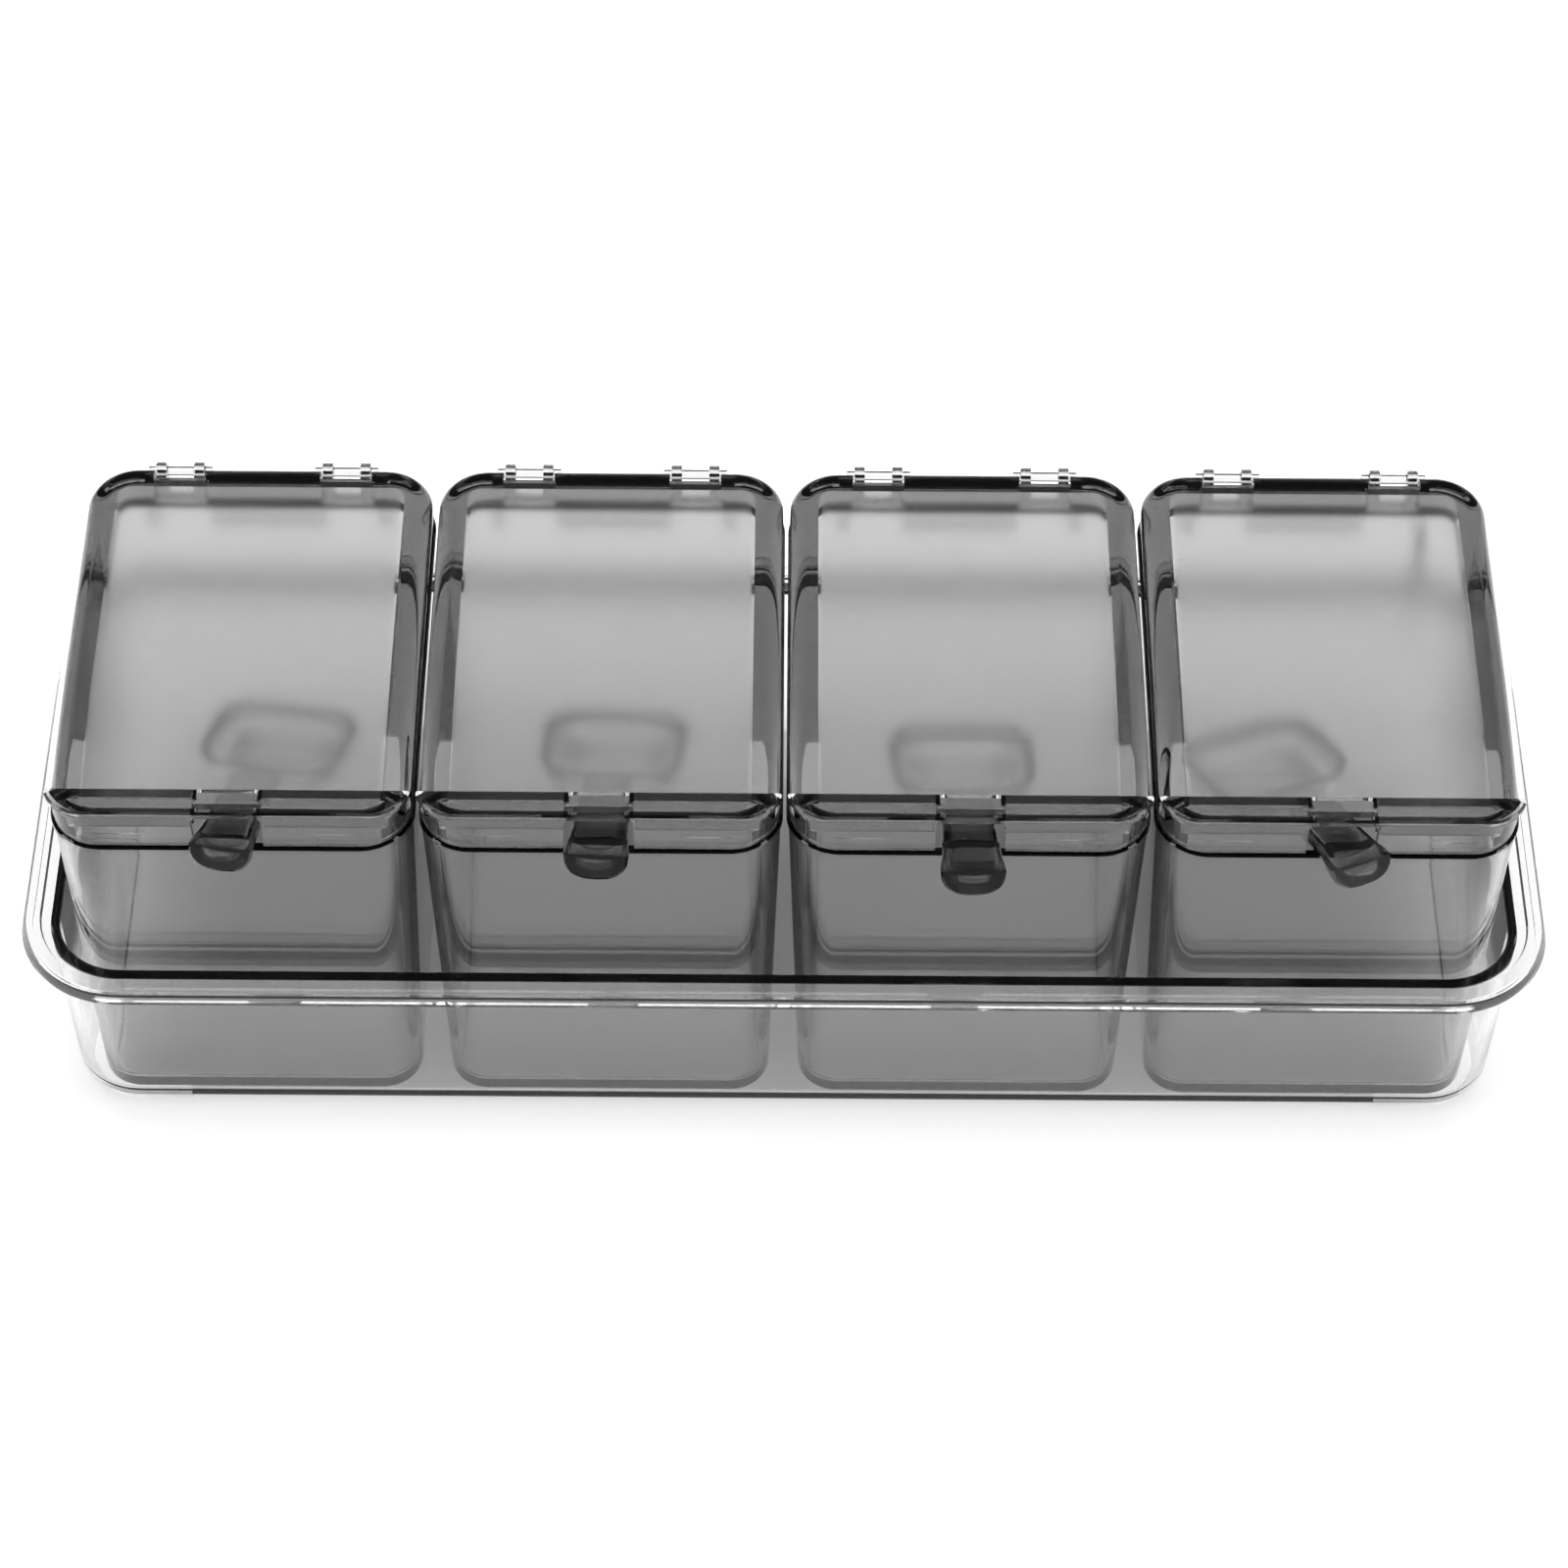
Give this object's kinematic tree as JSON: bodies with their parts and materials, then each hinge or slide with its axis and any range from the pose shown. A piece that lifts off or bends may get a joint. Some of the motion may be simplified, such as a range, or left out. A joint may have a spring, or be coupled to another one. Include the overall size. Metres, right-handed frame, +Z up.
{
  "type": "condiment caddy",
  "caption": "Clear serving tray with tapered, hinged-lid condiment boxes side by side, each with a spoon that leaves through a notch.",
  "frame": {"origin": "middle of the whole caddy, spoons included, on the plane its four feet stand on", "axes": "+X along the tray to the user's right, -Y to the front (lips and spoon handles), +Z up"},
  "size_m": [0.35, 0.1422, 0.1083],
  "materials": {
    "clear_plastic": "clear polished plastic",
    "smoke_plastic": "smoke-grey see-through polished plastic"
  },
  "bodies": {
    "tray": {"tray": "clear_plastic"},
    "box_1": {"box_1": "smoke_plastic"},
    "lid_1": {"lid_1": "smoke_plastic"},
    "spoon_1": {"spoon_1": "smoke_plastic"},
    "box_2": {"box_2": "smoke_plastic"},
    "lid_2": {"lid_2": "smoke_plastic"},
    "spoon_2": {"spoon_2": "smoke_plastic"},
    "box_3": {"box_3": "smoke_plastic"},
    "lid_3": {"lid_3": "smoke_plastic"},
    "spoon_3": {"spoon_3": "smoke_plastic"},
    "box_4": {"box_4": "smoke_plastic"},
    "lid_4": {"lid_4": "smoke_plastic"},
    "spoon_4": {"spoon_4": "smoke_plastic"}
  },
  "joints": [
    {"name": "box_1_lift", "type": "slide", "parent": "tray", "child": "box_1", "axis": [0, 0, 1], "range_m": [0, 0.06]},
    {"name": "lid_1_hinge", "type": "hinge", "parent": "box_1", "child": "lid_1", "pos_m": [-0.12225, 0.05179, 0.1036], "axis": [-1, 0, 0], "range_deg": [0, 110]},
    {"name": "spoon_1_turn", "type": "hinge", "parent": "box_1", "child": "spoon_1", "pos_m": [-0.12225, -0.05501, 0.1007], "axis": [0, 0, 1], "range_deg": [-4, 4]},
    {"name": "box_2_lift", "type": "slide", "parent": "tray", "child": "box_2", "axis": [0, 0, 1], "range_m": [0, 0.06]},
    {"name": "lid_2_hinge", "type": "hinge", "parent": "box_2", "child": "lid_2", "pos_m": [-0.04075, 0.05179, 0.1036], "axis": [-1, 0, 0], "range_deg": [0, 110]},
    {"name": "spoon_2_turn", "type": "hinge", "parent": "box_2", "child": "spoon_2", "pos_m": [-0.04075, -0.05501, 0.1007], "axis": [0, 0, 1], "range_deg": [-4, 4]},
    {"name": "box_3_lift", "type": "slide", "parent": "tray", "child": "box_3", "axis": [0, 0, 1], "range_m": [0, 0.06]},
    {"name": "lid_3_hinge", "type": "hinge", "parent": "box_3", "child": "lid_3", "pos_m": [0.04075, 0.05179, 0.1036], "axis": [-1, 0, 0], "range_deg": [0, 110]},
    {"name": "spoon_3_turn", "type": "hinge", "parent": "box_3", "child": "spoon_3", "pos_m": [0.04075, -0.05501, 0.1007], "axis": [0, 0, 1], "range_deg": [-4, 4]},
    {"name": "box_4_lift", "type": "slide", "parent": "tray", "child": "box_4", "axis": [0, 0, 1], "range_m": [0, 0.06]},
    {"name": "lid_4_hinge", "type": "hinge", "parent": "box_4", "child": "lid_4", "pos_m": [0.12225, 0.05179, 0.1036], "axis": [-1, 0, 0], "range_deg": [0, 110]},
    {"name": "spoon_4_turn", "type": "hinge", "parent": "box_4", "child": "spoon_4", "pos_m": [0.12225, -0.05501, 0.1007], "axis": [0, 0, 1], "range_deg": [-4, 4]}
  ]
}
